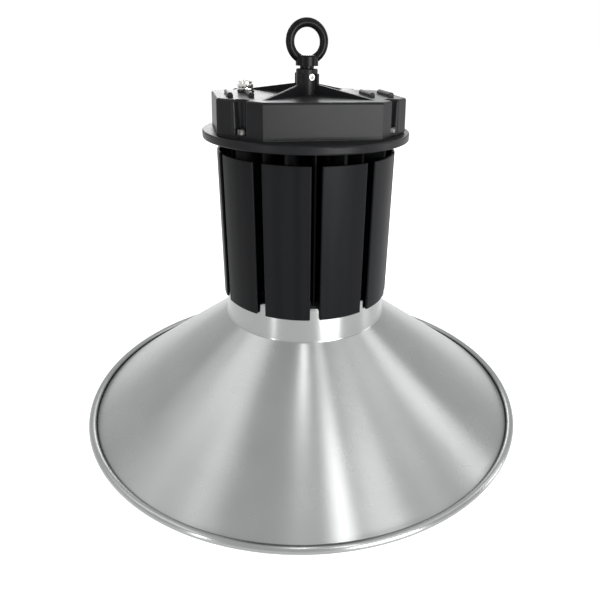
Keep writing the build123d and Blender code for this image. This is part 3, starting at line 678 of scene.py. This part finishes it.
def stands_for(piece, node):
    """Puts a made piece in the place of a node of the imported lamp."""
    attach(piece, "root")
    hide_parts(node)


def dress(material, *nodes):
    """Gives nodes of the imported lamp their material."""
    for node in nodes:
        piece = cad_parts[node]
        if not piece.material_slots:
            piece.data.materials.append(material)
        for slot in piece.material_slots:
            slot.material = material


def spun_aluminium(looks):
    """Satin sheet with the spinning tool's fine rings and faint clouds of handling."""
    finish = Finish("spun_aluminium")
    lines = finish.rings(looks.spin_line, detail=3.0, roughness=0.7)
    cloud = finish.noise(HANDLING_CLOUD, detail=3.0)
    finish.set(
        Base_Color=finish.tones(mingled(lines, cloud), looks.spun_colour, dark=0.95, light=1.04),
        Metallic=1.0,
        Roughness=varied(looks.spun_roughness, cloud, spread=0.05),
        Anisotropic=looks.spun_anisotropy,
        Anisotropic_Rotation=QUARTER_TURN,
        Normal=finish.relief(lines, depth=0.000006, strength=0.1, edge=0.0),
    )
    return finish.material


def black_anodising(looks):
    """Anodised black with fine die lines along its length, rougher between the fins, where its
    colour is darkened as painted shade.
    """
    finish = Finish("anodised_black")
    x, y, z = finish.axes()
    drawn = finish.point(x, y, z * DRAWN_OUT)
    lines = finish.noise(DIE_LINE, detail=3.0, where=drawn, roughness=0.65)
    broad = finish.noise(DIE_BAND, detail=1.0, where=drawn)
    # Painted shade between the fins: inside the radius the colour falls to its darkest tone, and
    # the roughness rises.
    painted_shade_and_dull = finish.around().ramp(looks.shade_and_dull_radius, looks.shade_and_dull_radius - SHADE_AND_DULL_STEP)
    tone = mingled(lines, broad) * (1.0 - painted_shade_and_dull)
    rough = varied(varied(looks.anodised_roughness, broad, spread=0.10), lines, spread=0.06)
    finish.set(
        Base_Color=finish.tones(tone, looks.anodised_colour, dark=0.7, light=1.2),
        Roughness=rough + painted_shade_and_dull * looks.inner_roughness,
        Specular_IOR_Level=looks.anodised_gloss,
        Normal=finish.relief(lines, depth=0.00002, strength=0.35, edge=looks.edge_ease),
    )
    return finish.material


def powder_coat(looks, name, colour, roughness, gloss):
    """Satin black coat with the slight orange peel of baked powder."""
    finish = Finish(name)
    peel = finish.noise(looks.coat_grain)
    swell = finish.noise(COAT_SWELL)
    finish.set(
        Base_Color=finish.tones(swell.stretched(), colour, dark=0.92, light=1.1),
        Roughness=varied(varied(roughness, peel, spread=0.05), swell, spread=0.05),
        Specular_IOR_Level=gloss,
        Normal=finish.relief(peel, depth=0.00002, strength=0.2, edge=looks.edge_ease),
    )
    return finish.material


def turned_metal(name, colour, roughness):
    """Bright turned metal with fine rings round the lamp's axis."""
    finish = Finish(name)
    rings = finish.rings(TURNED_LINE, detail=2.0, roughness=0.6)
    cloud = finish.noise(TURNED_CLOUD)
    finish.set(
        Base_Color=finish.tones(cloud.stretched(), colour, dark=0.94, light=1.05),
        Metallic=1.0,
        Roughness=varied(roughness, rings, spread=0.10),
        Normal=finish.relief(rings, depth=0.00001, strength=0.3, edge=METAL_EASE),
    )
    return finish.material


def plated_metal(name, colour, roughness):
    """Machined metal, plated or polished, with faint handling marks."""
    finish = Finish(name)
    grain = finish.noise(PLATED_GRAIN)
    cloud = finish.noise(PLATED_CLOUD, detail=3.0)
    finish.set(
        Base_Color=finish.tones(cloud.stretched(), colour, dark=0.92, light=1.05),
        Metallic=1.0,
        Roughness=varied(roughness, cloud, spread=0.08),
        Normal=finish.relief(grain, depth=0.000002, strength=0.1, edge=METAL_EASE),
    )
    return finish.material


def moulded(name, colour, roughness):
    """Moulded plastic or rubber with a fine spark-eroded grain."""
    finish = Finish(name)
    grain = finish.noise(MOULD_GRAIN)
    cloud = finish.noise(MOULD_CLOUD)
    finish.set(
        Base_Color=finish.tones(cloud.stretched(), colour, dark=0.93, light=1.05),
        Roughness=varied(roughness, grain, spread=0.08),
        Specular_IOR_Level=MOULD_GLOSS,
        Normal=finish.relief(grain, depth=0.00002, strength=0.4, edge=MOULD_EASE),
    )
    return finish.material


def phosphor(looks, rim_height):
    """White moulded bodies whose sunk windows are filled with yellow phosphor."""
    finish = Finish("phosphor")
    _, _, z = finish.axes()
    grain = finish.noise(EMITTER_GRAIN)
    sunk = z.ramp(rim_height - 0.01 * MM, rim_height)
    finish.set(
        Base_Color=finish.tint(sunk, looks.emitter_colour, looks.phosphor_colour),
        Roughness=varied(EMITTER_ROUGHNESS, grain, spread=0.1),
        Normal=finish.relief(grain, depth=0.00001, strength=0.3, edge=EMITTER_EASE),
    )
    return finish.material


def clear_glass(looks):
    """Tempered glass with faint cleaning marks."""
    finish = Finish("glass")
    marks = finish.noise(GLASS_MARKS, detail=3.0)
    finish.set(
        Base_Color=(*looks.glass_colour, 1.0),
        Roughness=marks.ramp(0.4, 0.8, *GLASS_ROUGHNESS),
        Transmission_Weight=1.0,
        IOR=GLASS_IOR,
    )
    return finish.material


class HIGHBAY_OT_reflector(bpy.types.Operator):
    """Spin the shade from its section"""

    bl_idname = "highbay.reflector"
    bl_label = "Spin Reflector"

    def execute(self, context):
        sizes = context.scene.lamp_shapes
        finish = spun_aluminium(context.scene.lamp_finishes)
        section = closed_section(*shade_outline(sizes, SHADE_RADIUS, SHADE_TOP))
        piece = turned("spun_reflector", section, [(0.0, 0.0, 0.0)], finish, sizes.turns)
        stands_for(piece, "reflector")
        return {"FINISHED"}


class HIGHBAY_OT_heatsink(bpy.types.Operator):
    """Anodise the extrusion"""

    bl_idname = "highbay.heatsink"
    bl_label = "Finish Heatsink"

    def execute(self, context):
        dress(black_anodising(context.scene.lamp_finishes), "heatsink")
        return {"FINISHED"}


class HIGHBAY_OT_castings(bpy.types.Operator):
    """Coat the flange, the driver housing and the hanging eye"""

    bl_idname = "highbay.castings"
    bl_label = "Finish Castings"

    def execute(self, context):
        looks = context.scene.lamp_finishes
        coat = looks.coat_colour, looks.coat_roughness, looks.coat_gloss
        dress(powder_coat(looks, "powder_black", *coat), "mounting_flange", "driver_housing")
        eye_coat = looks.eye_colour, looks.eye_roughness, looks.eye_gloss
        dress(powder_coat(looks, "eye_black", *eye_coat), "eye_bolt")
        return {"FINISHED"}


def hexagon_corner(half):
    """Distance from the axis to a hexagon's corner, from half its width across the flats."""
    return half / math.cos(math.pi / 6)


def socket_rows(flats, top, floor):
    """Rows of a hexagonal key socket, from its rim down to its centre."""
    half = flats / 2
    corner = hexagon_corner(half)
    return [
        (corner + SOCKET_RIM, top),
        (half, top - SOCKET_RIM, HEXAGON, corner),
        (half, floor, HEXAGON, corner),
        (0.0, floor - half * DRILL_POINT),
    ]


def socket_head_rows(thread, shank, head, height, flats, knurl):
    """A socket-head cap screw from the tip of its shank to the floor of its key socket."""
    edge = HEAD_EDGE
    return [
        (0.0, -shank),
        (thread - 2 * edge, -shank),
        (thread, edge * 2 - shank),
        (thread, 0.0),
        (head - edge, 0.0),
        (head, edge * 0.6, ROUND, NO_LIMIT, knurl),
        (head, height - edge * 1.6, ROUND, NO_LIMIT, knurl),
        (head - edge * 0.7, height - edge),
        (head - edge * 1.6, height - edge * 0.3),
        (head - edge * 2.6, height),
        *socket_rows(flats, height, height - height / 2),
    ]


def hexagon_band(flats, low, high, chamfer):
    """Rows of a hexagon whose corners are turned down at both ends."""
    half = flats / 2
    corner = hexagon_corner(half) - HEXAGON_EASE
    return [
        (half - HEXAGON_EASE, low, HEXAGON, half),
        (half, low + chamfer, HEXAGON, corner),
        (half, high - chamfer, HEXAGON, corner),
        (half - HEXAGON_EASE, high, HEXAGON, half),
    ]


class HIGHBAY_OT_screws(bpy.types.Operator):
    """Turn and knurl the seen screws, and finish all screws"""

    bl_idname = "highbay.screws"
    bl_label = "Make Screws"

    def execute(self, context):
        looks = context.scene.lamp_finishes
        sizes = context.scene.lamp_shapes
        bright = plated_metal("stainless", looks.steel_colour, looks.steel_roughness)
        dark_steel = shade(looks.steel_colour, looks.blackened_shade)
        black = plated_metal("black_screw", dark_steel, looks.blackened_roughness)
        dress(bright, "base_plate_screws", "board_screws", "flange_screws", "eye_lock_screw")
        dress(bright, "driver_screws", "terminal_screws", "earth_screw")
        self.turn_housing_screws(sizes, black)
        self.turn_lens_ring_screws(sizes, bright)
        return {"FINISHED"}

    @staticmethod
    def turn_housing_screws(sizes, black):
        low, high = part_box("housing_screws")
        head, height = sizes.m5_head, sizes.m5_head_height
        seat = high.z - height
        x, y = high.x - head, high.y - head
        rows = socket_head_rows(
            sizes.m5_thread, seat - low.z, head, height, sizes.m5_key, sizes.knurl_depth
        )
        places = [(x, y, seat), (-x, y, seat), (-x, -y, seat), (x, -y, seat)]
        piece = turned(
            "knurled_housing_screws", rows, places, black,
            turns=144, angles=HOUSING_SCREW_TURNS, knurls=36,
        )
        stands_for(piece, "housing_screws")

    @staticmethod
    def turn_lens_ring_screws(sizes, bright):
        low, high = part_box("lens_ring_screws")
        head, height = sizes.m4_head, sizes.m4_head_height
        seat = low.z + height
        rows = socket_head_rows(sizes.m4_thread, high.z - seat, head, height, sizes.m4_key, 0.0)
        angles = circle_angles(len(LENS_SCREW_TURNS))
        places = circle_places(high.x - head, angles, seat)
        piece = turned(
            "round_lens_ring_screws", rows, places, bright,
            turns=72, angles=LENS_SCREW_TURNS, flip=math.pi,
        )
        stands_for(piece, "lens_ring_screws")


class HIGHBAY_OT_gland(bpy.types.Operator):
    """Turn the cable gland's body and cap, and finish the rest of it"""

    bl_idname = "highbay.gland"
    bl_label = "Make Gland"

    def execute(self, context):
        looks = context.scene.lamp_finishes
        sizes = context.scene.lamp_shapes
        nickel = plated_metal("nickel", looks.nickel_colour, looks.nickel_roughness)
        dress(nickel, "gland_locknut")
        dress(moulded("rubber", looks.rubber_colour, roughness=0.55), "gland_washer", "gland_seal")
        self.turn_cap(sizes, nickel)
        self.turn_body(sizes, nickel)
        return {"FINISHED"}

    @staticmethod
    def turn_cap(sizes, nickel):
        low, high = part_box("gland_cap")
        middle = (low + high) / 2
        height = high.z - low.z
        inside = height - sizes.cap_dome
        dome_centre = (sizes.cap_radius - sizes.cap_dome, inside)
        rows = [
            *hexagon_band(sizes.cap_flats, 0.0, sizes.cap_hex_height, sizes.hex_chamfer),
            (sizes.cap_radius, sizes.cap_hex_height),
            *arc_points(dome_centre, sizes.cap_dome, 0.0, math.pi / 2, DOME_STEPS),
            (sizes.cap_hole + HOLE_EDGE, height),
            (sizes.cap_hole, height - HOLE_EDGE),
            (sizes.cap_hole, inside),
            (sizes.cap_bore, inside),
            (sizes.cap_bore, 0.0),
        ]
        place = (middle.x, middle.y, low.z)
        piece = turned("domed_gland_cap", rows, [place], nickel, turns=96, angles=[CAP_TURN])
        stands_for(piece, "gland_cap")

    @staticmethod
    def turn_body(sizes, nickel):
        low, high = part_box("gland_body")
        middle = (low + high) / 2
        hex_foot = sizes.gland_shank
        hex_top = high.z - low.z - sizes.gland_collar_height
        top = high.z - low.z
        seat = hex_top - sizes.gland_seat_depth
        rows = [
            (sizes.gland_bore, 0.0),
            (sizes.gland_thread, 0.0),
            (sizes.gland_thread, hex_foot),
            *hexagon_band(sizes.gland_flats, hex_foot, hex_top, sizes.hex_chamfer),
            (sizes.gland_collar, hex_top),
            (sizes.gland_collar, top),
            (sizes.gland_seat, top),
            (sizes.gland_seat, seat),
            (sizes.gland_bore, seat),
        ]
        place = (middle.x, middle.y, low.z)
        piece = turned("hexagonal_gland_body", rows, [place], nickel, turns=96, angles=[BODY_TURN])
        stands_for(piece, "gland_body")


class HIGHBAY_OT_light_engine(bpy.types.Operator):
    """Finish the plate, board, emitters, glass and ring inside the collar"""

    bl_idname = "highbay.light_engine"
    bl_label = "Finish Light Engine"

    def execute(self, context):
        looks = context.scene.lamp_finishes
        plate = looks.turned_colour
        dress(turned_metal("mill_aluminium", plate, looks.turned_roughness), "base_plate")
        ring = shade(plate, looks.ring_shade)
        dress(turned_metal("ring_aluminium", ring, looks.ring_roughness), "lens_ring")
        dress(moulded("thermal_grey", looks.pad_colour, roughness=0.7), "thermal_pad")
        dress(moulded("board_white", looks.board_colour, roughness=0.45), "led_board")
        self.place_emitters(context.scene.lamp_shapes, looks)
        dress(moulded("silicone", looks.silicone_colour, roughness=0.5), "lens_seal")
        dress(clear_glass(looks), "glass_lens")
        return {"FINISHED"}

    @staticmethod
    def place_emitters(sizes, looks):
        """Square bodies round a sunk disc of phosphor, in rings on the board."""
        low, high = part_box("led_emitters")
        height = high.z - low.z
        shoulder = height * 0.9
        window_floor = height * 0.8
        half = sizes.emitter / 2
        window = half * 0.8
        corner = half * math.sqrt(2.0)
        rows = [
            (0.0, 0.0),
            (half, 0.0, SQUARE, corner),
            (half, shoulder, SQUARE, corner * 0.93),
            (half * 0.95, height, SQUARE, corner * 0.88),
            (window, height),
            (window * 0.94, window_floor),
            (0.0, window_floor),
        ]
        places, angles = [], []
        for ring in range(EMITTER_RINGS):
            radius = high.x - half - (EMITTER_RINGS - 1 - ring) * sizes.emitter_pitch
            ways = circle_angles(EMITTERS_MORE_PER_RING * (ring + 1))
            places += circle_places(radius, ways, high.z)
            angles += [way + math.pi / 4 for way in ways]
        finish = phosphor(looks, low.z + height * 0.1)
        piece = turned(
            "windowed_emitters", rows, places, finish,
            turns=24, angles=angles, flip=math.pi,
        )
        stands_for(piece, "led_emitters")


class HIGHBAY_OT_wiring(bpy.types.Operator):
    """Finish the driver, the terminal block, the leads and the seals"""

    bl_idname = "highbay.wiring"
    bl_label = "Finish Wiring"

    def execute(self, context):
        looks = context.scene.lamp_finishes
        dress(plated_metal("driver_case", looks.case_colour, looks.case_roughness), "driver")
        sheath = moulded("lead_sheath", looks.sheath_colour, roughness=0.5)
        dress(sheath, "led_lead", "driver_input_lead")
        dress(moulded("terminal_plastic", looks.terminal_colour, roughness=0.5), "terminal_block")
        rubber = moulded("seal_rubber", looks.rubber_colour, roughness=0.6)
        dress(rubber, "cable_grommet", "housing_seal")
        return {"FINISHED"}


def area_light(name, place, target, size, power):
    """A rectangular soft light that faces a point."""
    data = bpy.data.lights.new(name, "AREA")
    data.shape = "RECTANGLE"
    data.size, data.size_y = size
    data.energy = power
    lamp = new_object(name, data)
    way = Vector(target) - Vector(place)
    lamp.location = place
    lamp.rotation_euler = way.to_track_quat("-Z", "Y").to_euler()


def seen_rays(weave):
    """1 for rays from the camera, off a gloss or through glass, and 0 for the others."""
    path = weave.node("ShaderNodeLightPath")
    direct = path["Is Camera Ray"].at_least(path["Is Glossy Ray"])
    return direct.at_least(path["Is Transmission Ray"])


class HIGHBAY_OT_stage(bpy.types.Operator):
    """Lay the floor, light the lamp and place the camera"""

    bl_idname = "highbay.stage"
    bl_label = "Set Stage"

    def execute(self, context):
        stage = context.scene.lamp_stage
        self.lay_floor(stage)
        self.light_sky(context.scene, stage)
        for light in SOFT_LIGHTS:
            area_light(*light)
        self.place_camera(context.scene, stage)
        context.scene.view_settings.view_transform = "Standard"
        return {"FINISHED"}

    @staticmethod
    def lay_floor(stage):
        """A pale floor that looks white but keeps the lamp's shadow."""
        mesh = bpy.data.meshes.new("floor")
        near, far = -FLOOR_REACH, FLOOR_REACH
        corners = [(near, near, 0.0), (far, near, 0.0), (far, far, 0.0), (near, far, 0.0)]
        mesh.from_pydata(corners, [], [(0, 1, 2, 3)])
        floor = new_object("floor", mesh)
        finish = Finish("floor")
        mottle = finish.noise(FLOOR_MOTTLE)
        finish.set(
            Base_Color=finish.tones(mottle, stage.floor_colour, dark=0.99, light=1.01),
            Roughness=FLOOR_ROUGHNESS,
            Specular_IOR_Level=0.0,
        )
        shine = {"Color": WHITE, "Strength": seen_rays(finish) * stage.floor_glow}
        glow = finish.node("ShaderNodeEmission", inputs=shine)[0]
        body = Term(finish, finish.shader.outputs[0])
        total = finish.node("ShaderNodeAddShader", inputs={0: body, 1: glow})[0]
        finish.join(total, finish.tree.nodes["Material Output"].inputs["Surface"])
        mesh.materials.append(finish.material)

    @staticmethod
    def light_sky(scene, stage):
        """Even light from all round, behind which the seen sky is white."""
        world = bpy.data.worlds.new("studio")
        world.use_nodes = True
        scene.world = world
        weave = Weave(world.node_tree)
        level = seen_rays(weave) * (1.0 - stage.sky_level) + stage.sky_level
        background = world.node_tree.nodes["Background"]
        background.inputs["Color"].default_value = WHITE
        weave.join(level, background.inputs["Strength"])

    @staticmethod
    def place_camera(scene, stage):
        data = bpy.data.cameras.new("camera")
        data.lens = stage.focal_length
        data.sensor_width = stage.sensor_width
        data.shift_x = stage.sideways_shift
        data.clip_start = 10.0 * MM
        camera = new_object("camera", data)
        heading, pitch, roll = stage.camera_heading, stage.camera_pitch, stage.camera_roll
        forward = Vector((
            math.sin(heading) * math.cos(pitch),
            math.cos(heading) * math.cos(pitch),
            -math.sin(pitch),
        ))
        level_right = Vector((math.cos(heading), -math.sin(heading), 0.0))
        level_up = level_right.cross(forward)
        right = level_right * math.cos(roll) + level_up * math.sin(roll)
        up = level_up * math.cos(roll) - level_right * math.sin(roll)
        turn = Matrix((right, up, -forward)).transposed().to_4x4()
        camera.matrix_world = Matrix.Translation(stage.camera_place) @ turn
        scene.camera = camera


class HIGHBAY_PT_panel(bpy.types.Panel):
    """The lamp's operators in the order in which they run"""

    bl_label = "High Bay Light"
    bl_idname = "HIGHBAY_PT_panel"
    bl_space_type = "VIEW_3D"
    bl_region_type = "UI"
    bl_category = "High Bay"

    def draw(self, context):
        for operator in OPERATORS:
            self.layout.operator(operator.bl_idname)


GROUPS = {"lamp_finishes": LampFinishes, "lamp_shapes": LampShapes, "lamp_stage": LampStage}
OPERATORS = (
    HIGHBAY_OT_reflector,
    HIGHBAY_OT_heatsink,
    HIGHBAY_OT_castings,
    HIGHBAY_OT_screws,
    HIGHBAY_OT_gland,
    HIGHBAY_OT_light_engine,
    HIGHBAY_OT_wiring,
    HIGHBAY_OT_stage,
)
CLASSES = (*GROUPS.values(), *OPERATORS, HIGHBAY_PT_panel)


def register():
    for kind in CLASSES:
        bpy.utils.register_class(kind)
    for name, group in GROUPS.items():
        setattr(bpy.types.Scene, name, PointerProperty(type=group))


def unregister():
    for name in GROUPS:
        delattr(bpy.types.Scene, name)
    for kind in reversed(CLASSES):
        bpy.utils.unregister_class(kind)


def main():
    register()
    for operator in OPERATORS:
        family, action = operator.bl_idname.split(".")
        getattr(getattr(bpy.ops, family), action)()
    bpy.context.view_layer.update()


if __name__ == "__main__":
    main()
